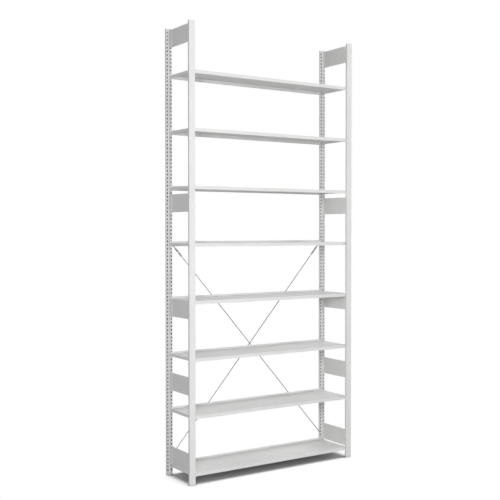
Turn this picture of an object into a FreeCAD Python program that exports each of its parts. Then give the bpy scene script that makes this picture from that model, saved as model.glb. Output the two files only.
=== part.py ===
"""Tall clip shelving bay, open to both faces, as a parametric FreeCAD document.

Four roll-formed T posts stand in two end frames that are tied by side panels.
Eight folded steel shelves rest on clips hooked into the slotted posts, and a
crossed pair of tie rods with turnbuckles braces the rear plane.

Frame: +X along the shelves, +Y to the rear, +Z up. The origin is on the floor
under the middle of the bay. Millimetres throughout.
"""
import FreeCAD, Part
import math
import os
import Sketcher

SIZES = {
    # posts
    "post_height": 3000.0,  # steel length of a post, without its foot
    "post_width": 45.0,  # width of the smooth outer face
    "post_depth": 16.0,  # depth of the hollow flange
    "post_wall": 1.5,  # sheet of the post; the stem is two sheets thick
    "post_corner": 2.0,  # radius of the two outer corners, drawn as two chords
    "stem_depth": 14.0,  # how far the stem reaches in from the flange
    "axis_spacing": 1310.0,  # left post axis to right post axis
    "frame_depth": 297.0,  # between the slotted faces of front and rear posts
    "foot_height": 10.0,  # plastic foot under the post
    "foot_plug": 12.0,  # how far the foot's plug reaches up the hollow flange
    "foot_plug_gap": 0.3,  # plug to post wall
    "foot_chamfer": 1.0,  # bevel round the sole
    # slots
    "slot_pitch": 25.0,  # row to row
    "slot_first": 25.0,  # post foot to the first row, and last row to the top
    "slot_leeway": 0.01,  # part of a pitch that the last row may overrun
    "slot_width": 8.0,
    "slot_height": 12.0,
    "slot_offset": 14.0,  # column to post axis
    # shelves
    "shelf_count": 8,
    "shelf_low_row": 2,  # slot row of the lowest shelf's clips
    "rows_above_shelves": 12,  # slot rows left free above the highest shelf
    "shelf_sheet": 1.2,
    "shelf_edge": 22.0,  # height of the front and rear edges
    "shelf_lip": 12.0,  # inward return under each edge
    "back_stop": 12.0,  # hemmed upstand along the rear edge
    "end_flange": 17.0,  # height of the turned-down ends
    "end_relief": 2.0,  # end flange kept short of the edges
    "corner_notch": 18.0,  # edge cut back at each end, round the clips
    "shelf_side_gap": 1.0,  # edge to slotted face
    "shelf_end_gap": 3.5,  # shelf end to stem
    # clips
    "clip_sheet": 2.0,
    "clip_width": 14.0,
    "clip_rise": 12.8,  # slot centre to the ledge's upper face
    "clip_drop": 9.0,  # slot centre to the plate's lower edge
    "clip_reach": 20.0,  # ledge, from the slotted face
    "clip_rib": 12.0,  # stiffening rib under the ledge
    "tongue_width": 4.0,
    "tongue_shift": 1.5,  # tongue set towards the stem
    "tongue_drop": 5.0,  # hook below the slot's lower edge
    "tongue_gap": 0.3,  # hook to the inside of the post wall
    # side panels
    "panel_height": 120.0,
    "panel_sheet": 1.2,
    "panel_rise": 5.0,  # panel middle above its slot row
    "panel_end_gap": 1.5,  # panel end to slotted face
    "panel_lap": 34.0,  # flat end strip that is spot-welded to the stem
    "panel_joggle": 2.1,  # offset of the panel's web from its end strips
    "panel_hem": 12.0,  # folded-back safe edge, top and bottom
    "panel_top_rows": 2,  # rows from the highest slot down to the top panel
    "panel_upper_row": 73,
    "panel_middle_row": 45,
    "panel_lower_row": 25,
    "panel_bottom_row": 5,
    # brace
    "rod_diameter": 6.0,
    "rod_offset": 3.05,  # each rod from the brace's middle plane
    "brace_shelf": 5,  # shelf whose clips share the brace's upper slot row
    "brace_low_row": 5,
    "hook_radius": 4.0,  # of the rod's axis round the post wall
    "hook_tail": 10.0,
    "hook_gap": 0.2,  # tail to the inside of the post wall
    "hook_slot_height": 8.0,
    "hook_slot_play": 0.4,  # rod to the side of its slot
    "turnbuckle_length": 72.0,
    "turnbuckle_width": 13.0,
    "turnbuckle_depth": 9.0,
    "turnbuckle_corner": 2.5,  # bevel along its four long edges
    "turnbuckle_window": 34.0,
    "turnbuckle_window_width": 8.0,
    "turnbuckle_chamfer": 1.5,
    "turnbuckle_setback": 70.0,  # its middle from the hook's bend
    "thread_gap": 14.0,  # between the rod ends inside the turnbuckle
    "thread_play": 0.3,  # rod to bore
}

SHEET = "Dim"
ROD_SIDES = 8  # flats round a rod, in place of a circle, to hold the face count down
HOOK_CHORDS = 4  # straight chords round a hook's bend, for the same reason

# Expressions that several pieces share. A name stands for a cell of the sheet.
SLOT_ROWS = "(floor((post_height - 2 * slot_first) / slot_pitch + slot_leeway) + 1)"
ROW_STEP = f"floor(({SLOT_ROWS} - rows_above_shelves - shelf_low_row) / (shelf_count - 1))"
ROW_ZERO = "(foot_height + slot_first - slot_pitch)"
HALF_DEPTH = "(frame_depth / 2 + post_depth)"
HALF_SPACING = "(axis_spacing / 2)"
SHELF_LENGTH = "(axis_spacing - 2 * post_wall - 2 * shelf_end_gap)"
SHELF_DEPTH = "(frame_depth - 2 * shelf_side_gap)"
BRACE_SPAN = (
    "(axis_spacing - post_width + 2 * post_wall + rod_diameter + 2 * hook_gap - 2 * hook_radius)"
)
BRACE_HIGH_ROW = f"(shelf_low_row + (brace_shelf - 1) * {ROW_STEP})"
BRACE_RISE = f"(slot_pitch * ({BRACE_HIGH_ROW} - brace_low_row))"
BRACE_ANGLE = (
    f"(atan({BRACE_RISE} / {BRACE_SPAN})"
    f" + asin(2 * hook_radius / sqrt({BRACE_SPAN} ^ 2 + {BRACE_RISE} ^ 2)))"
)
BRACE_HALF_LINE = f"(({BRACE_SPAN} * cos({BRACE_ANGLE}) + {BRACE_RISE} * sin({BRACE_ANGLE})) / 2)"
BRACE_PLANE = "(frame_depth / 2 + post_depth / 2)"
BRACE_MIDDLE = f"({ROW_ZERO} + slot_pitch * ({BRACE_HIGH_ROW} + brace_low_row) / 2)"
ROD_RADIUS = "(rod_diameter / 2)"

SIDES = {"left": -1, "right": 1}
FACES = {"front": -1, "rear": 1}
PANEL_ROWS = {
    5: f"({SLOT_ROWS} - panel_top_rows)",
    4: "panel_upper_row",
    3: "panel_middle_row",
    2: "panel_lower_row",
    1: "panel_bottom_row",
}

doc = FreeCAD.newDocument("ClipShelving")


# ---------------------------------------------------------------- sheet


def make_sheet():
    """Put every driving size in a cell of its own, with an alias."""
    sheet = doc.addObject("Spreadsheet::Sheet", SHEET)
    for row, (alias, value) in enumerate(SIZES.items(), start=1):
        sheet.set(f"A{row}", alias.replace("_", " "))
        sheet.set(f"B{row}", str(value))
        sheet.setAlias(f"B{row}", alias)
    doc.recompute()
    return sheet


def on_sheet(expression):
    """Prefix each size name in an expression with the sheet that holds it."""
    words = []
    word = ""
    for letter in expression + " ":
        if letter.isalnum() or letter == "_":
            word += letter
            continue
        words.append(f"{SHEET}.{word}" if word in SIZES else word)
        words.append(letter)
        word = ""
    return "".join(words).strip()


def bind(feature, prop, expression):
    """Bind one property of a feature to an expression on the sheet."""
    feature.setExpression(prop, on_sheet(expression))


# ---------------------------------------------------------------- sketches


def new_body(name):
    """A body whose label names its node."""
    body = doc.addObject("PartDesign::Body", name)
    body.Label = name
    return body


def origin_part(body, role):
    """An origin plane or axis of the body, found by its role."""
    return next(part for part in body.Origin.OriginFeatures if part.Role == role)


def new_sketch(body, name, role, offset="0"):
    """A sketch on an origin plane, moved along the plane's normal."""
    sketch = body.newObject("Sketcher::SketchObject", name)
    sketch.AttachmentSupport = [(origin_part(body, role), "")]
    sketch.MapMode = "FlatFace"
    bind(sketch, ".AttachmentOffset.Base.z", offset)
    return sketch


def pin_point(sketch, geometry, point, x, y):
    """Hold one point of the sketch at two expressions from the sketch's origin."""
    for kind, expression in (("DistanceX", x), ("DistanceY", y)):
        index = sketch.addConstraint(Sketcher.Constraint(kind, -1, 1, geometry, point, 1.0))
        bind(sketch, f"Constraints[{index}]", expression)


def polyline(sketch, corners, closed):
    """Lines through corners that are pairs of expressions."""
    first = sketch.GeometryCount
    count = len(corners)
    step = 2 * math.pi / count
    ring = [FreeCAD.Vector(math.cos(step * k), math.sin(step * k), 0) for k in range(count)]
    lines = count if closed else count - 1
    for k in range(lines):
        sketch.addGeometry(Part.LineSegment(ring[k], ring[(k + 1) % count]), False)
    for k in range(lines if closed else lines - 1):
        following = first + (k + 1) % count
        sketch.addConstraint(Sketcher.Constraint("Coincident", first + k, 2, following, 1))
    for k, (x, y) in enumerate(corners[:lines]):
        pin_point(sketch, first + k, 1, x, y)
    if not closed:
        pin_point(sketch, first + lines - 1, 2, *corners[-1])


def polygon(sketch, corners):
    """A closed outline whose corners are pairs of expressions."""
    polyline(sketch, corners, closed=True)


def rectangle(sketch, left, right, bottom, top):
    """A closed rectangle between four expressions."""
    polygon(sketch, [(left, bottom), (right, bottom), (right, top), (left, top)])


def circle(sketch, x, y, diameter):
    """A circle at a pair of expressions."""
    round_line = Part.Circle(FreeCAD.Vector(), FreeCAD.Vector(0, 0, 1), 1)
    geometry = sketch.addGeometry(round_line, False)
    pin_point(sketch, geometry, 3, x, y)
    index = sketch.addConstraint(Sketcher.Constraint("Diameter", geometry, 2 * round_line.Radius))
    bind(sketch, f"Constraints[{index}]", diameter)


# ---------------------------------------------------------------- features


def extrude(kind, body, sketch, length, symmetric, reverse):
    """A pad or pocket of a sketch, its length bound to the sheet."""
    feature = body.newObject(f"PartDesign::{kind}", f"{sketch.Name}_{kind.lower()}")
    feature.Profile = sketch
    feature.SideType = "Symmetric" if symmetric else "One side"
    feature.Reversed = reverse
    bind(feature, "Length", length)
    return feature


def pad(body, sketch, length, symmetric=False, reverse=False):
    """Add material along the sketch's normal."""
    return extrude("Pad", body, sketch, length, symmetric, reverse)


def pocket(body, sketch, length):
    """Cut to equal depth on both sides of the sketch's plane."""
    return extrude("Pocket", body, sketch, length, True, False)


def mirror(body, features, role):
    """Mirror features about an origin plane of their body."""
    feature = body.newObject("PartDesign::Mirrored", f"{body.Name}_{role[:2].lower()}")
    feature.Originals = features
    feature.MirrorPlane = (origin_part(body, role), [""])
    body.Tip = feature
    return feature


def place(body, x="0", y="0", z="0", turn=0, axis=(0, 0, 1)):
    """Set a piece in the bay, its position bound to the sheet."""
    body.Placement = FreeCAD.Placement(
        FreeCAD.Vector(), FreeCAD.Rotation(FreeCAD.Vector(*axis), turn)
    )
    for letter, expression in zip("xyz", (x, y, z)):
        bind(body, f".Placement.Base.{letter}", expression)


def signed(sign, expression):
    """An expression on the left or front (-1) or on the right or rear (1)."""
    return expression if sign > 0 else f"-({expression})"


# ---------------------------------------------------------------- posts


def post_outline(sketch):
    """The T outline: hollow flange along X, stem towards +Y."""
    inset = "post_corner * (1 - cos(45 deg))"
    polygon(
        sketch,
        [
            ("-post_width / 2", "post_corner"),
            (f"-post_width / 2 + {inset}", inset),
            ("-post_width / 2 + post_corner", "0"),
            ("post_width / 2 - post_corner", "0"),
            (f"post_width / 2 - {inset}", inset),
            ("post_width / 2", "post_corner"),
            ("post_width / 2", "post_depth"),
            ("post_wall", "post_depth"),
            ("post_wall", "post_depth + stem_depth"),
            ("-post_wall", "post_depth + stem_depth"),
            ("-post_wall", "post_depth"),
            ("-post_width / 2", "post_depth"),
        ],
    )


def slot_row(sketch, row):
    """The two slots of one row, one each side of the stem."""
    height = f"(slot_first + slot_pitch * ({row} - 1))"
    for side in (-1, 1):
        middle = signed(side, "slot_offset")
        rectangle(
            sketch,
            f"{middle} - slot_width / 2",
            f"{middle} + slot_width / 2",
            f"{height} - slot_height / 2",
            f"{height} + slot_height / 2",
        )


def slot_columns(body, name, row, count, spacing):
    """Cut a slot row through the inner face and repeat it up the post."""
    sketch = new_sketch(body, f"{name}_slots", "XZ_Plane", "-(post_depth - post_wall / 2)")
    slot_row(sketch, row)
    cut = pocket(body, sketch, "2 * post_wall")
    pattern = body.newObject("PartDesign::LinearPattern", f"{name}_rows")
    pattern.Originals = [cut]
    pattern.Direction = (origin_part(body, "Z_Axis"), [""])
    bind(pattern, "Length", f"({count} - 1) * ({spacing})")
    bind(pattern, "Occurrences", count)
    body.Tip = pattern
    return pattern


def hook_slots(body, name, side):
    """Openings in the flange's bay side wall for the brace hooks, high and low."""
    wall_plane = signed(side, "(post_width / 2 - post_wall / 2)")
    sketch = new_sketch(body, f"{name}_hook_slots", "YZ_Plane", wall_plane)
    half_slot = f"({ROD_RADIUS} + hook_slot_play)"
    for level in (-1, 1):
        row = BRACE_HIGH_ROW if level > 0 else "brace_low_row"
        height = f"(slot_first + slot_pitch * ({row} - 1))"
        # The rod that hooks high on the left hooks low on the right.
        middle = f"(post_depth / 2 {'-' if side * level > 0 else '+'} rod_offset)"
        mouth = f"{height} + {signed(level, 'hook_slot_height')}"
        rectangle(sketch, f"{middle} - {half_slot}", f"{middle} + {half_slot}", height, mouth)
    pocket(body, sketch, "2 * post_wall")


def post(face, side):
    """One post, outer face outwards and stem towards the middle of the bay."""
    name = f"post_{face}_{side}"
    body = new_body(name)
    section = new_sketch(body, f"{name}_section", "XY_Plane")
    post_outline(section)
    rectangle(
        section,
        "-post_width / 2 + post_wall",
        "post_width / 2 - post_wall",
        "post_wall",
        "post_depth - post_wall",
    )
    pad(body, section, "post_height")
    if face == "rear":
        hook_slots(body, name, SIDES[side])
        slot_columns(body, name, "1", SLOT_ROWS, "slot_pitch")
    else:
        slot_columns(body, name, "shelf_low_row", "shelf_count", f"{ROW_STEP} * slot_pitch")
    place(
        body,
        signed(SIDES[side], HALF_SPACING),
        signed(FACES[face], HALF_DEPTH),
        "foot_height",
        turn=180 if face == "rear" else 0,
    )
    return body


def foot(face, side):
    """Plastic foot with the post's outline and a plug up its hollow flange."""
    name = f"foot_{face}_{side}"
    body = new_body(name)
    sole = new_sketch(body, f"{name}_sole", "XY_Plane")
    post_outline(sole)
    block = pad(body, sole, "foot_height")
    doc.recompute()
    bevel = body.newObject("PartDesign::Chamfer", f"{name}_bevel")
    underside = min(range(len(block.Shape.Faces)), key=lambda k: block.Shape.Faces[k].CenterOfMass.z)
    bevel.Base = (block, [f"Face{underside + 1}"])
    bind(bevel, "Size", "foot_chamfer")
    plug = new_sketch(body, f"{name}_plug", "XY_Plane", "foot_height")
    inset = "(post_wall + foot_plug_gap)"
    rectangle(
        plug,
        f"-post_width / 2 + {inset}",
        f"post_width / 2 - {inset}",
        inset,
        f"post_depth - {inset}",
    )
    pad(body, plug, "foot_plug")
    place(
        body,
        signed(SIDES[side], HALF_SPACING),
        signed(FACES[face], HALF_DEPTH),
        turn=180 if face == "rear" else 0,
    )
    return body


# ---------------------------------------------------------------- side panels


def side_panel(side, level):
    """Panel between the front and rear stems of one end frame."""
    name = f"side_panel_{side}_{level}"
    body = new_body(name)
    half = "(frame_depth / 2 - panel_end_gap)"
    web_end = f"({half} - panel_lap - panel_joggle)"
    lap_end = f"({half} - panel_lap)"
    outer = "(post_wall + panel_sheet)"
    plan = new_sketch(body, f"{name}_plan", "XY_Plane")
    polygon(
        plan,
        [
            (outer, f"-{half}"),
            (outer, f"-{lap_end}"),
            (f"{outer} - panel_joggle", f"-{web_end}"),
            (f"{outer} - panel_joggle", web_end),
            (outer, lap_end),
            (outer, half),
            ("post_wall", half),
            ("post_wall", lap_end),
            ("post_wall - panel_joggle", web_end),
            ("post_wall - panel_joggle", f"-{web_end}"),
            ("post_wall", f"-{lap_end}"),
            ("post_wall", f"-{half}"),
        ],
    )
    pad(body, plan, "panel_height")
    for edge, base in (("low", "0"), ("high", "panel_height - panel_hem")):
        hem = new_sketch(body, f"{name}_{edge}_hem", "XY_Plane", base)
        inner = "(post_wall - panel_joggle)"
        rectangle(hem, f"{inner} - panel_sheet", inner, f"-{web_end}", web_end)
        pad(body, hem, "panel_hem")
    place(
        body,
        signed(SIDES[side], HALF_SPACING),
        "0",
        f"{ROW_ZERO} + slot_pitch * {PANEL_ROWS[level]} + panel_rise - panel_height / 2",
        turn=180 if side == "left" else 0,
    )
    return body


# ---------------------------------------------------------------- shelves and clips


def shelf_height(level):
    """Slot row height of a shelf, counted up from the lowest."""
    return f"{ROW_ZERO} + slot_pitch * (shelf_low_row + {level - 1} * {ROW_STEP})"


def shelf(level):
    """Folded tray: edges down with inward lips, hemmed back stop, ends down."""
    name = f"shelf_{level}"
    body = new_body(name)
    half = f"({SHELF_DEPTH} / 2)"
    section = new_sketch(body, f"{name}_section", "YZ_Plane")
    polygon(
        section,
        [
            (f"-{half} + shelf_lip", "-shelf_edge"),
            (f"-{half}", "-shelf_edge"),
            (f"-{half}", "0"),
            (f"{half} - 2 * shelf_sheet", "0"),
            (f"{half} - 2 * shelf_sheet", "back_stop"),
            (half, "back_stop"),
            (half, "-shelf_edge"),
            (f"{half} - shelf_lip", "-shelf_edge"),
            (f"{half} - shelf_lip", "-shelf_edge + shelf_sheet"),
            (f"{half} - shelf_sheet", "-shelf_edge + shelf_sheet"),
            (f"{half} - shelf_sheet", "-shelf_sheet"),
            (f"-{half} + shelf_sheet", "-shelf_sheet"),
            (f"-{half} + shelf_sheet", "-shelf_edge + shelf_sheet"),
            (f"-{half} + shelf_lip", "-shelf_edge + shelf_sheet"),
        ],
    )
    pad(body, section, SHELF_LENGTH, symmetric=True)
    notches = new_sketch(body, f"{name}_notches", "XZ_Plane")
    for side in (-1, 1):
        inner = signed(side, f"({SHELF_LENGTH} / 2 - corner_notch)")
        outer = signed(side, f"({SHELF_LENGTH} / 2)")
        rectangle(notches, inner, outer, "-shelf_edge", "-shelf_sheet")
    pocket(body, notches, SHELF_DEPTH)
    for side in SIDES:
        start = signed(SIDES[side], f"({SHELF_LENGTH} / 2)")
        flange = new_sketch(body, f"{name}_{side}_end", "YZ_Plane", start)
        rectangle(
            flange, f"-{half} + end_relief", f"{half} - end_relief", "-end_flange", "-shelf_sheet"
        )
        pad(body, flange, "shelf_sheet", reverse=side == "right")
    place(body, z=f"{shelf_height(level)} + clip_rise + shelf_sheet")
    return body


def front_and_rear(sketch, corners):
    """An outline by the rear posts and its mirror image by the front posts."""
    for sign in FACES.values():
        polygon(sketch, [(signed(sign, y), z) for y, z in corners])


def clip_outlines():
    """The three plates of a clip: name, outline, distance set outwards, thickness."""
    face = "(frame_depth / 2)"
    inner = f"({face} - clip_sheet)"
    behind = f"({face} + post_wall + tongue_gap)"
    hook_end = "(-slot_height / 2 - tongue_drop)"
    plate = [
        (face, "-clip_drop"),
        (face, "clip_rise"),
        (f"{face} - clip_reach", "clip_rise"),
        (f"{face} - clip_reach", "clip_rise - clip_sheet"),
        (inner, "clip_rise - clip_sheet"),
        (inner, "-clip_drop"),
    ]
    rib = [
        (inner, "clip_rise - clip_sheet"),
        (f"{inner} - clip_rib", "clip_rise - clip_sheet"),
        (inner, "clip_rise - clip_sheet - clip_rib"),
    ]
    hook = [
        (face, "0"),
        (face, "-slot_height / 2"),
        (behind, "-slot_height / 2"),
        (behind, hook_end),
        (f"{behind} + clip_sheet", hook_end),
        (f"{behind} + clip_sheet", "0"),
    ]
    return [
        ("plate", plate, "0", "clip_width"),
        ("rib", rib, "0", "clip_sheet"),
        ("hook", hook, "tongue_shift", "tongue_width"),
    ]


def clips(level):
    """The four clips of one shelf, one hooked in each post's bay side column."""
    name = f"clips_shelf_{level}"
    body = new_body(name)
    pads = []
    for part, corners, shift, thickness in clip_outlines():
        plane = f"axis_spacing / 2 - slot_offset + {shift}"
        sketch = new_sketch(body, f"{name}_{part}", "YZ_Plane", plane)
        front_and_rear(sketch, corners)
        pads.append(pad(body, sketch, thickness, symmetric=True))
    mirror(body, pads, "YZ_Plane")
    place(body, z=shelf_height(level))
    return body


# ---------------------------------------------------------------- brace


def hook_path(body, name, straight):
    """Tail, bend and straight run of a hook rod, its bend drawn as short chords."""
    tail_x = f"(-{BRACE_SPAN} / 2 - hook_radius)"
    points = [(tail_x, f"{BRACE_RISE} / 2 - hook_tail")]
    for chord in range(HOOK_CHORDS + 1):
        turn = f"({chord} * (90 deg + {BRACE_ANGLE}) / {HOOK_CHORDS})"
        points.append(
            (
                f"-{BRACE_SPAN} / 2 - hook_radius * cos({turn})",
                f"{BRACE_RISE} / 2 + hook_radius * sin({turn})",
            )
        )
    end_x, end_z = points[-1]
    run = f"({straight})"
    points.append((f"{end_x} + {run} * cos({BRACE_ANGLE})", f"{end_z} - {run} * sin({BRACE_ANGLE})"))
    sketch = new_sketch(body, f"{name}_path", "XZ_Plane")
    polyline(sketch, points, closed=False)
    return sketch


def hook_rod(name, straight, rod, turn, axis):
    """A tie rod end: tail behind the post wall, bend through its slot, straight run.

    The body's origin is the crossing of the brace; the hook is high on the left.
    """
    body = new_body(name)
    path = hook_path(body, name, straight)
    section = new_sketch(body, f"{name}_section", "XY_Plane", f"{BRACE_RISE} / 2 - hook_tail")
    corners = []
    for side in range(ROD_SIDES):
        turn_to = f"({360 * (side + 0.5) / ROD_SIDES} deg)"
        corners.append(
            (
                f"-{BRACE_SPAN} / 2 - hook_radius + {ROD_RADIUS} * cos({turn_to})",
                f"{ROD_RADIUS} * sin({turn_to})",
            )
        )
    polygon(section, corners)
    doc.recompute()
    pipe = body.newObject("PartDesign::AdditivePipe", f"{name}_pipe")
    pipe.Profile = section
    pipe.Spine = (path, [f"Edge{k + 1}" for k in range(path.GeometryCount)])
    pipe.Transition = "Right corner"
    place(body, "0", f"{BRACE_PLANE} + {signed(rod, 'rod_offset')}", BRACE_MIDDLE, turn, axis)
    return body


def turnbuckle(name, side, rod):
    """Open turnbuckle: two bored ends joined by two bars."""
    body = new_body(name)
    section = new_sketch(body, f"{name}_section", "XY_Plane")
    half_width = "(turnbuckle_width / 2)"
    half_depth = "(turnbuckle_depth / 2)"
    polygon(
        section,
        [
            (half_width, f"-{half_depth} + turnbuckle_corner"),
            (half_width, f"{half_depth} - turnbuckle_corner"),
            (f"{half_width} - turnbuckle_corner", half_depth),
            (f"-{half_width} + turnbuckle_corner", half_depth),
            (f"-{half_width}", f"{half_depth} - turnbuckle_corner"),
            (f"-{half_width}", f"-{half_depth} + turnbuckle_corner"),
            (f"-{half_width} + turnbuckle_corner", f"-{half_depth}"),
            (f"{half_width} - turnbuckle_corner", f"-{half_depth}"),
        ],
    )
    barrel = pad(body, section, "turnbuckle_length", symmetric=True)
    doc.recompute()
    bevel = body.newObject("PartDesign::Chamfer", f"{name}_bevel")
    ends = [
        f"Face{k}"
        for k, face in enumerate(barrel.Shape.Faces, start=1)
        if face.BoundBox.ZLength < SIZES["turnbuckle_chamfer"]
    ]
    bevel.Base = (barrel, ends)
    bind(bevel, "Size", "turnbuckle_chamfer")
    window = new_sketch(body, f"{name}_window", "XZ_Plane")
    half_gap = "(turnbuckle_window_width / 2)"
    half_length = "(turnbuckle_window / 2)"
    rectangle(window, f"-{half_gap}", half_gap, f"-{half_length}", half_length)
    pocket(body, window, "2 * turnbuckle_depth")
    bore = new_sketch(body, f"{name}_bore", "XY_Plane")
    circle(bore, "0", "0", "rod_diameter + 2 * thread_play")
    pocket(body, bore, "2 * turnbuckle_length")
    along = f"({BRACE_HALF_LINE} - turnbuckle_setback)"
    place(
        body,
        signed(side, f"{along} * cos({BRACE_ANGLE})"),
        f"{BRACE_PLANE} + {signed(rod, 'rod_offset')}",
        f"{BRACE_MIDDLE} + {along} * sin({BRACE_ANGLE})",
        turn=45,
        axis=(0, side, 0),
    )
    bind(body, ".Placement.Rotation.Angle", f"90 deg - {BRACE_ANGLE}")
    return body


def brace():
    """Both diagonals: a long rod and a short hook rod joined by each turnbuckle."""
    short = "(turnbuckle_setback - thread_gap / 2)"
    long = f"(2 * {BRACE_HALF_LINE} - turnbuckle_setback - thread_gap / 2)"
    return [
        hook_rod("brace_hook_left", short, -1, 0, (0, 0, 1)),
        hook_rod("brace_rod_left", long, -1, 180, (0, 1, 0)),
        hook_rod("brace_hook_right", short, 1, 180, (0, 0, 1)),
        hook_rod("brace_rod_right", long, 1, 180, (1, 0, 0)),
        turnbuckle("turnbuckle_left", -1, -1),
        turnbuckle("turnbuckle_right", 1, 1),
    ]


# ---------------------------------------------------------------- assembly


def build():
    """Every sub-part of the bay, in one list."""
    make_sheet()
    pieces = []
    for face in FACES:
        for side in SIDES:
            pieces += [post(face, side), foot(face, side)]
    for side in SIDES:
        pieces += [side_panel(side, level) for level in PANEL_ROWS]
    for level in range(1, SIZES["shelf_count"] + 1):
        pieces += [shelf(level), clips(level)]
    pieces += brace()
    doc.recompute()
    return pieces


def check(pieces):
    """Stop if any object failed or any sub-part has no valid shape."""
    for item in doc.Objects:
        if "Invalid" in item.State or "Error" in item.State:
            raise RuntimeError(f"{item.Name} did not compute: {item.State}")
    for piece in pieces:
        if piece.Shape.isNull() or not piece.Shape.isValid():
            raise RuntimeError(f"{piece.Label} has no valid shape")


def export(pieces):
    """One STEP file for each sub-part."""
    os.makedirs("parts", exist_ok=True)
    for piece in pieces:
        piece.Shape.exportStep(os.path.join("parts", f"{piece.Label}.step"))
        box = piece.Shape.BoundBox
        print(
            f"{piece.Label:22s} solids {len(piece.Shape.Solids)}  volume {piece.Shape.Volume:12.1f}"
            f"  x {box.XMin:8.2f} {box.XMax:8.2f}  y {box.YMin:8.2f} {box.YMax:8.2f}"
            f"  z {box.ZMin:8.2f} {box.ZMax:8.2f}"
        )


PIECES = build()
check(PIECES)
export(PIECES)
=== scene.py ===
"""Dresses the clip shelving bay: finishes, front post slots, round rods, light and camera."""
import math

import bmesh
import bpy
from mathutils import Matrix, Vector

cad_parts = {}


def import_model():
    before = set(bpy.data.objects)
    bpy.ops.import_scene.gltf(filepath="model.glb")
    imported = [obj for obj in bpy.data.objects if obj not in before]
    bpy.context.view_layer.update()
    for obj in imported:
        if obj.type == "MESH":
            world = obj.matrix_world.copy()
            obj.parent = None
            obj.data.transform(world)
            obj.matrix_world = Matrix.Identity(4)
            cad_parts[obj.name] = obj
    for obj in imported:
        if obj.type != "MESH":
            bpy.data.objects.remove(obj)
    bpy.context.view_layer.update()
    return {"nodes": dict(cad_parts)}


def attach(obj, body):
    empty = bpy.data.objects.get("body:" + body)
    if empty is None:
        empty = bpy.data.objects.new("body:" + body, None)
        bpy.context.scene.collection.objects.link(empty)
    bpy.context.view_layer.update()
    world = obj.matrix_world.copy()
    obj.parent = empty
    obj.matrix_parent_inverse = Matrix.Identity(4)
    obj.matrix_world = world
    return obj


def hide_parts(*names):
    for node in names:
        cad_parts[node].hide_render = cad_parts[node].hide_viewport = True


MM = 0.001

# Posts, as in the solids, in millimetres.
AXIS_X = 655.0
POST_WIDTH = 45.0
POST_INNER_Y = 148.5
POST_OUTER_Y = 164.5
POST_WALL = 1.5

# Brace rods, as in the solids, in millimetres. A turnbuckle's middle is SETBACK below the
# bend of the upper hook, and the two rods' ends are THREAD_GAP apart in it.
BRACE_Y = 156.5
ROD_OFFSET = 3.05
ROD_RADIUS = 3.0
HOOK_RADIUS = 4.0
HOOK_TAIL = 10.0
HOOK_X = 633.2
HOOK_TOP = 1560.0
HOOK_LOW = 135.0
SETBACK = 70.0
THREAD_GAP = 14.0
THREAD_LENGTH = 46.0
THREAD_PITCH = 1.0
THREAD_DEPTH = 0.5

# How finely the rods are drawn.
ROD_SIDES = 24
BEND_STEPS = 20
STEPS_PER_THREAD = 4

# Spot welds in the laps of the side panels, in millimetres: flat out to WELD_FLAT from the
# middle of the dimple, and level with the sheet again at WELD_RIM.
WELD_Y = 141.0
WELD_Z = 40.0
WELD_PITCH = 50.0
WELD_FLAT = 2.4
WELD_RIM = 3.6
WELD_DEPTH = 0.25

# Finishes.
COAT = (0.80, 0.802, 0.795)
COAT_SHEEN = 0.35
# Near black for the inside of the posts: partly bare steel, but mostly painted shade that makes the
# slots look dark.
BARE_STEEL_AND_SHADE = (0.10, 0.10, 0.105)
CLIP_ZINC = (0.62, 0.63, 0.65)
ROD_ZINC = (0.30, 0.305, 0.315)
TURNBUCKLE_ZINC = (0.42, 0.43, 0.45)
ZINC_METALLIC = 0.85
FOOT_PLASTIC = (0.70, 0.705, 0.70)

# The photograph's camera, in millimetres and degrees. The view reaches CAMERA_REACH metres.
CAMERA_AT = (-3478.8, -5106.8, 1659.5)
CAMERA_YAW = 33.485
CAMERA_DOWN = 1.282
CAMERA_REACH = 200.0
FOCAL_PX = 880.1
FRAME_PX = 500
SENSOR = 36.0

# Floor, in metres. It is in the open where the share of sky that is free within SKY_REACH is
# above SKY_OPEN, and under the object where that share is below SKY_SHADED.
FLOOR_SIZE = 80.0
FLOOR_COLOUR = (0.48, 0.48, 0.48)
SKY_REACH = 0.25
SKY_SHADED = 0.48
SKY_OPEN = 0.64
SKY_SAMPLES = 16

# Surroundings: white as seen, and as bright as WORLD_LIGHT to what they light.
WHITE = (1.0, 1.0, 1.0)
WORLD_LIGHT = 0.16

# Lamps, in metres. Each softbox has a name, an azimuth in degrees, a height and a power in
# watts. They stand SOFTBOX_AT from the object's upright axis and aim at LAMP_AIM.
SOFTBOX_SIZE = 1.7
SOFTBOX_AT = 5.5
LAMP_AIM = Vector((0, 0, 1.5))
SOFTBOXES = (
    ("front_left", -38, 2.2, 150.0),
    ("front_low", 0, 0.9, 38.0),
    ("front_high", 0, 9.0, 116.0),
    ("right_high", 50, 5.0, 84.0),
    ("right", 90, 2.5, 76.0),
    ("back", 180, 2.2, 114.0),
)


# ---------------------------------------------------------------- materials


def rgba(colour):
    return (*colour, 1.0)


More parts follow.
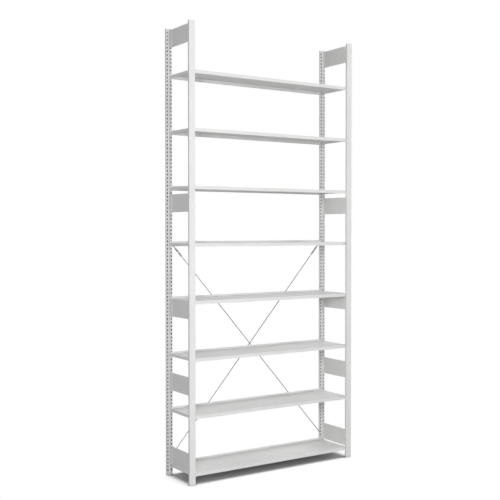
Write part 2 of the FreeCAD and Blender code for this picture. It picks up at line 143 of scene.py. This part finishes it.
class Nodes:
    """A small helper round the node tree of a material or a world.

    shader is the material's Principled BSDF, and a world has none.
    """

    def __init__(self, owner):
        owner.use_nodes = True
        self.owner = owner
        self.tree = owner.node_tree
        self.shader = self.tree.nodes.get("Principled BSDF")

    def add(self, kind, **values):
        node = self.tree.nodes.new(kind)
        for key, value in values.items():
            setattr(node, key, value)
        return node

    def link(self, source, target):
        self.tree.links.new(source, target)

    def place(self, scale=(1.0, 1.0, 1.0)):
        """Object coordinates, stretched."""
        coords = self.add("ShaderNodeTexCoord")
        mapping = self.add("ShaderNodeMapping")
        mapping.inputs["Scale"].default_value = scale
        self.link(coords.outputs["Object"], mapping.inputs["Vector"])
        return mapping.outputs["Vector"]

    def axes(self):
        """Object coordinates, one by one."""
        split = self.add("ShaderNodeSeparateXYZ")
        self.link(self.place(), split.inputs["Vector"])
        return split.outputs["X"], split.outputs["Y"], split.outputs["Z"]

    def noise(self, vector, scale, detail, rough=0.5):
        node = self.add("ShaderNodeTexNoise")
        node.inputs["Scale"].default_value = scale
        node.inputs["Detail"].default_value = detail
        node.inputs["Roughness"].default_value = rough
        self.link(vector, node.inputs["Vector"])
        return node.outputs["Fac"]

    def tones(self, factor, colour, low, high):
        """Shades of a colour. Low and high each give a factor and the colour's strength there."""
        node = self.add("ShaderNodeValToRGB")
        for element, (position, strength) in zip(node.color_ramp.elements, (low, high)):
            element.position = position
            element.color = rgba(channel * strength for channel in colour)
        self.link(factor, node.inputs["Fac"])
        return node.outputs["Color"]

    def span(self, factor, low, high, at_low=0.0, at_high=1.0):
        """Value that runs from at_low to at_high as the factor goes from low to high."""
        node = self.add("ShaderNodeMapRange")
        node.inputs["From Min"].default_value = low
        node.inputs["From Max"].default_value = high
        node.inputs["To Min"].default_value = at_low
        node.inputs["To Max"].default_value = at_high
        self.link(factor, node.inputs["Value"])
        return node.outputs["Result"]

    def math(self, operation, first, second=None):
        node = self.add("ShaderNodeMath", operation=operation)
        for socket, value in zip(node.inputs, (first, second)):
            if isinstance(value, (int, float)):
                socket.default_value = value
            elif value is not None:
                self.link(value, socket)
        return node.outputs["Value"]

    def cover(self, factor, below, colour):
        """A plain colour laid over another one where the factor is 1."""
        node = self.add("ShaderNodeMixRGB")
        node.inputs["Color2"].default_value = rgba(colour)
        self.link(factor, node.inputs["Fac"])
        self.link(below, node.inputs["Color1"])
        return node.outputs["Color"]

    def bump(self, height, distance, strength=1.0, below=None):
        node = self.add("ShaderNodeBump")
        node.inputs["Distance"].default_value = distance
        node.inputs["Strength"].default_value = strength
        self.link(height, node.inputs["Height"])
        if below is not None:
            self.link(below, node.inputs["Normal"])
        return node.outputs["Normal"]


def new_material(name):
    return Nodes(bpy.data.materials.new(name))


def near(n, value, middle, reach):
    """1 where the size of a value is within reach of the middle, both in millimetres."""
    off = n.math("SUBTRACT", n.math("ABSOLUTE", value), middle * MM)
    return n.math("LESS_THAN", n.math("ABSOLUTE", off), reach * MM)


def post_hollow_shade(n):
    """1 inside the hollow section of any post, where hardly any coat reaches and where the colour
    is painted shade that darkens the slots.
    """
    x, y, _ = n.axes()
    middle_y = (POST_INNER_Y + POST_OUTER_Y) / 2
    across = near(n, x, AXIS_X, (POST_WIDTH - POST_WALL) / 2)
    deep = near(n, y, middle_y, (POST_OUTER_Y - POST_INNER_Y - POST_WALL) / 2)
    return n.math("MULTIPLY", across, deep)


def spot_welds(n):
    """0 in the round dimples of the side panels' spot welds and 1 off them."""
    _, y, z = n.axes()
    across = n.math("SUBTRACT", n.math("ABSOLUTE", y), WELD_Y * MM)
    along = n.math("PINGPONG", n.math("SUBTRACT", z, WELD_Z * MM), WELD_PITCH / 2 * MM)
    squares = n.math("ADD", n.math("POWER", across, 2), n.math("POWER", along, 2))
    return n.span(n.math("SQRT", squares), low=WELD_FLAT * MM, high=WELD_RIM * MM)


def powder_coat(name, colour, hollow_shade=None, dimples=None):
    """Satin powder coat on sheet steel: orange peel, faint patches, light rub marks, and painted
    shade inside the posts' hollows where a mask is given.
    """
    n = new_material(name)
    patches = n.noise(n.place(), scale=5.0, detail=4.0)
    coat = n.tones(patches, colour, low=(0.35, 0.975), high=(0.65, 1.015))
    if hollow_shade:
        # Painted shade: the hollow of each post is coloured near black, standing in for the shade
        # inside its slots.
        coat = n.cover(hollow_shade(n), coat, BARE_STEEL_AND_SHADE)
    n.link(coat, n.shader.inputs["Base Color"])
    rubs = n.noise(n.place((6.0, 60.0, 60.0)), scale=3.0, detail=5.0, rough=0.6)
    gloss = n.span(rubs, low=0.35, high=0.7, at_low=0.44, at_high=0.56)
    n.link(gloss, n.shader.inputs["Roughness"])
    waviness = n.noise(n.place(), scale=18.0, detail=2.0)
    relief = n.bump(waviness, distance=0.6 * MM, strength=0.25)
    if dimples:
        relief = n.bump(dimples(n), distance=WELD_DEPTH * MM, below=relief)
    peel = n.noise(n.place(), scale=420.0, detail=2.0)
    relief = n.bump(peel, distance=0.06 * MM, strength=0.5, below=relief)
    n.link(relief, n.shader.inputs["Normal"])
    n.shader.inputs["Specular IOR Level"].default_value = COAT_SHEEN
    return n.owner


def zinc(name, colour, rough):
    """Bright zinc plate: fine grain and soft cloudy blooms."""
    n = new_material(name)
    blooms = n.noise(n.place(), scale=90.0, detail=4.0)
    tones = n.tones(blooms, colour, low=(0.3, 0.82), high=(0.7, 1.06))
    n.link(tones, n.shader.inputs["Base Color"])
    grain = n.noise(n.place(), scale=900.0, detail=2.0)
    gloss = n.span(grain, low=0.3, high=0.7, at_low=rough - 0.07, at_high=rough + 0.1)
    n.link(gloss, n.shader.inputs["Roughness"])
    relief = n.bump(grain, distance=0.03 * MM, strength=0.3)
    n.link(relief, n.shader.inputs["Normal"])
    n.shader.inputs["Metallic"].default_value = ZINC_METALLIC
    return n.owner


def moulded(name, colour):
    """Moulded plastic with a fine spark-eroded grain."""
    n = new_material(name)
    cloud = n.noise(n.place(), scale=40.0, detail=3.0)
    tones = n.tones(cloud, colour, low=(0.3, 0.92), high=(0.7, 1.05))
    n.link(tones, n.shader.inputs["Base Color"])
    grain = n.noise(n.place(), scale=1500.0, detail=2.0)
    gloss = n.span(grain, low=0.3, high=0.7, at_low=0.5, at_high=0.65)
    n.link(gloss, n.shader.inputs["Roughness"])
    relief = n.bump(grain, distance=0.08 * MM, strength=0.6)
    n.link(relief, n.shader.inputs["Normal"])
    return n.owner


def make_finishes():
    """The finish of each kind of node, by the start of the node's name."""
    return {
        # The posts' coat carries painted shade in their hollows.
        "post_": powder_coat("post_coat", COAT, hollow_shade=post_hollow_shade),
        "side_panel_": powder_coat("panel_coat", COAT, dimples=spot_welds),
        "shelf_": powder_coat("powder_coat", COAT),
        "clips_": zinc("clip_zinc", CLIP_ZINC, rough=0.38),
        "brace_": zinc("rod_zinc", ROD_ZINC, rough=0.34),
        "turnbuckle_": zinc("turnbuckle_zinc", TURNBUCKLE_ZINC, rough=0.42),
        "foot_": moulded("foot_plastic", FOOT_PLASTIC),
    }


def paint_nodes(nodes, finishes):
    """Give every CAD node the finish of its kind."""
    for name, node in nodes.items():
        kind = next(kind for kind in finishes if name.startswith(kind))
        node.data.materials.clear()
        node.data.materials.append(finishes[kind])


# ---------------------------------------------------------------- pieces


def new_piece(name, mesh, finish):
    """A visible piece of one finish that stands still with the frame."""
    piece = bpy.data.objects.new(name, mesh)
    bpy.context.scene.collection.objects.link(piece)
    mesh.materials.clear()
    mesh.materials.append(finish)
    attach(piece, "frame")
    return piece


def slotted_front_posts(nodes, finish):
    """Front posts with every slot row: the opposite rear post, turned half round."""
    half_turn = Matrix.Rotation(math.pi, 4, "Z")
    for side, opposite in (("left", "right"), ("right", "left")):
        mesh = nodes[f"post_rear_{opposite}"].data.copy()
        mesh.transform(half_turn)
        piece = new_piece(f"slotted_post_front_{side}", mesh, finish)
        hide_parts(f"post_front_{side}")


def brace_line():
    """Length and slope of the straight between two hooks.

    It leaves their bends on opposite sides of the line between the bends' centres.
    """
    span = 2 * HOOK_X
    rise = HOOK_TOP - HOOK_LOW
    reach = math.hypot(span, rise)
    length = math.sqrt(reach**2 - (2 * HOOK_RADIUS) ** 2)
    return length, math.atan2(rise, span) + math.asin(2 * HOOK_RADIUS / reach)


def straight_stations(length):
    """Stations down a straight whose last stretch is threaded: distance, threaded or not."""
    start = length - THREAD_LENGTH
    step = THREAD_PITCH / STEPS_PER_THREAD
    count = int(THREAD_LENGTH / step)
    threaded = [(start + step * k, True) for k in range(1, count)]
    return [(start, False), *threaded, (length, False)]


def outward(turn):
    """Direction from a bend's centre, at an angle turned from where the hook's tail ends."""
    return Vector((-math.cos(turn), 0, math.sin(turn)))


def rod_stations(straight):
    """Stations down a rod's tail, bend and straight, with its hook high on the left.

    Each is a point, the angle turned so far and, where the rod is threaded, the distance
    down the straight.
    """
    _, lean = brace_line()
    centre = Vector((-HOOK_X, 0, (HOOK_TOP - HOOK_LOW) / 2))
    full_turn = math.pi / 2 + lean
    stations = [(centre + Vector((-HOOK_RADIUS, 0, -HOOK_TAIL)), 0.0, None)]
    for k in range(BEND_STEPS + 1):
        turn = full_turn * k / BEND_STEPS
        stations.append((centre + HOOK_RADIUS * outward(turn), turn, None))
    start = stations[-1][0]
    along = Vector((math.cos(lean), 0, -math.sin(lean)))
    for distance, threaded in straight_stations(straight):
        stations.append((start + along * distance, full_turn, distance if threaded else None))
    return stations


def thread_radius(distance, angle):
    """Radius of a 60 degree thread at a distance along the rod and an angle round it."""
    phase = (distance / THREAD_PITCH - angle / (2 * math.pi)) % 1.0
    return ROD_RADIUS - THREAD_DEPTH * abs(2 * phase - 1)


def rod_ring(mesh, point, turn, thread_at):
    """The points round a rod at one station."""
    ring = []
    for k in range(ROD_SIDES):
        angle = 2 * math.pi * k / ROD_SIDES
        radius = ROD_RADIUS if thread_at is None else thread_radius(thread_at, angle)
        across = outward(turn) * math.cos(angle) + Vector((0, 1, 0)) * math.sin(angle)
        ring.append(mesh.verts.new((point + across * radius) * MM))
    return ring


def skin(mesh, rings):
    """Join rings of equal count and close both ends."""
    for ring, following in zip(rings, rings[1:]):
        for k in range(ROD_SIDES):
            beside = (k + 1) % ROD_SIDES
            mesh.faces.new((ring[k], ring[beside], following[beside], following[k]))
    mesh.faces.new(list(reversed(rings[0])))
    mesh.faces.new(rings[-1])


def rod_mesh(name, straight):
    """Round rod in the brace's plane, smooth round its sides and flat at its ends."""
    mesh = bmesh.new()
    skin(mesh, [rod_ring(mesh, *station) for station in rod_stations(straight)])
    bmesh.ops.recalc_face_normals(mesh, faces=mesh.faces)
    for face in mesh.faces:
        face.smooth = len(face.verts) == 4
    data = bpy.data.meshes.new(name)
    mesh.to_mesh(data)
    mesh.free()
    return data


def brace_rods(finish):
    """Round, threaded rods in place of the plain solids."""
    length, _ = brace_line()
    short = SETBACK - THREAD_GAP / 2
    long = length - SETBACK - THREAD_GAP / 2
    middle_z = (HOOK_TOP + HOOK_LOW) / 2
    rods = (
        ("brace_hook_left", short, -ROD_OFFSET, 0, "Z"),
        ("brace_rod_left", long, -ROD_OFFSET, 180, "Y"),
        ("brace_hook_right", short, ROD_OFFSET, 180, "Z"),
        ("brace_rod_right", long, ROD_OFFSET, 180, "X"),
    )
    for node, straight, offset, turn, axis in rods:
        mesh = rod_mesh(f"round_{node}", straight)
        place = Vector((0, BRACE_Y + offset, middle_z)) * MM
        mesh.transform(Matrix.Translation(place) @ Matrix.Rotation(math.radians(turn), 4, axis))
        piece = new_piece(f"round_{node}", mesh, finish)
        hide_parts(node)


# ---------------------------------------------------------------- studio


def camera():
    """The photograph's camera."""
    data = bpy.data.cameras.new("camera")
    data.sensor_width = SENSOR
    data.lens = SENSOR * FOCAL_PX / FRAME_PX
    data.clip_end = CAMERA_REACH
    obj = bpy.data.objects.new("camera", data)
    obj.location = Vector(CAMERA_AT) * MM
    obj.rotation_euler = (math.radians(90 - CAMERA_DOWN), 0.0, math.radians(-CAMERA_YAW))
    bpy.context.scene.collection.objects.link(obj)
    bpy.context.scene.camera = obj


def seen_directly(n):
    """1 for rays from the camera, a mirror or glass, and 0 for light."""
    path = n.add("ShaderNodeLightPath")
    mirrored = n.math("MAXIMUM", path.outputs["Is Glossy Ray"], path.outputs["Is Transmission Ray"])
    return n.math("MAXIMUM", path.outputs["Is Camera Ray"], mirrored)


def world():
    """Plain pale surroundings that look white and light the object gently."""
    scene_world = bpy.data.worlds.new("studio")
    bpy.context.scene.world = scene_world
    n = Nodes(scene_world)
    background = n.tree.nodes["Background"]
    background.inputs["Color"].default_value = rgba(WHITE)
    strength = n.span(seen_directly(n), low=0.0, high=1.0, at_low=WORLD_LIGHT, at_high=1.0)
    n.link(strength, background.inputs["Strength"])


def open_air(n):
    """1 on open floor and 0 close under the object, by how much of the sky near by is free."""
    sky = n.add("ShaderNodeAmbientOcclusion", samples=SKY_SAMPLES)
    sky.inputs["Distance"].default_value = SKY_REACH
    return n.span(sky.outputs["AO"], low=SKY_SHADED, high=SKY_OPEN)


def floor():
    """Pale floor: white as seen in the open, and under the object as its lamps light it."""
    bpy.ops.mesh.primitive_plane_add(size=FLOOR_SIZE)
    plane = bpy.context.object
    plane.name = "floor"
    n = new_material("floor")
    n.shader.inputs["Base Color"].default_value = rgba(FLOOR_COLOUR)
    n.shader.inputs["Roughness"].default_value = 1.0
    n.shader.inputs["Specular IOR Level"].default_value = 0.0
    white = n.add("ShaderNodeEmission")
    both = n.add("ShaderNodeMixShader")
    n.link(n.math("MULTIPLY", seen_directly(n), open_air(n)), both.inputs["Fac"])
    n.link(n.shader.outputs[0], both.inputs[1])
    n.link(white.outputs[0], both.inputs[2])
    n.link(both.outputs[0], n.tree.nodes["Material Output"].inputs["Surface"])
    plane.data.materials.append(n.owner)


def softbox(name, azimuth, height, power):
    """A square lamp round the object: azimuth 0 is in front of it and 90 on its right."""
    data = bpy.data.lights.new(name, "AREA")
    data.size = SOFTBOX_SIZE
    data.energy = power
    turn = math.radians(azimuth)
    obj = bpy.data.objects.new(name, data)
    obj.location = Vector((math.sin(turn) * SOFTBOX_AT, -math.cos(turn) * SOFTBOX_AT, height))
    obj.rotation_euler = (obj.location - LAMP_AIM).to_track_quat("Z", "Y").to_euler()
    obj.visible_camera = False
    bpy.context.scene.collection.objects.link(obj)


def studio():
    """Surroundings, floor and lamps."""
    bpy.context.scene.view_settings.view_transform = "Standard"
    world()
    floor()
    for lamp in SOFTBOXES:
        softbox(*lamp)


# ---------------------------------------------------------------- scene


def main():
    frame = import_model()
    camera()
    finishes = make_finishes()
    paint_nodes(frame["nodes"], finishes)
    slotted_front_posts(frame["nodes"], finishes["post_"])
    brace_rods(finishes["brace_"])
    studio()


main()
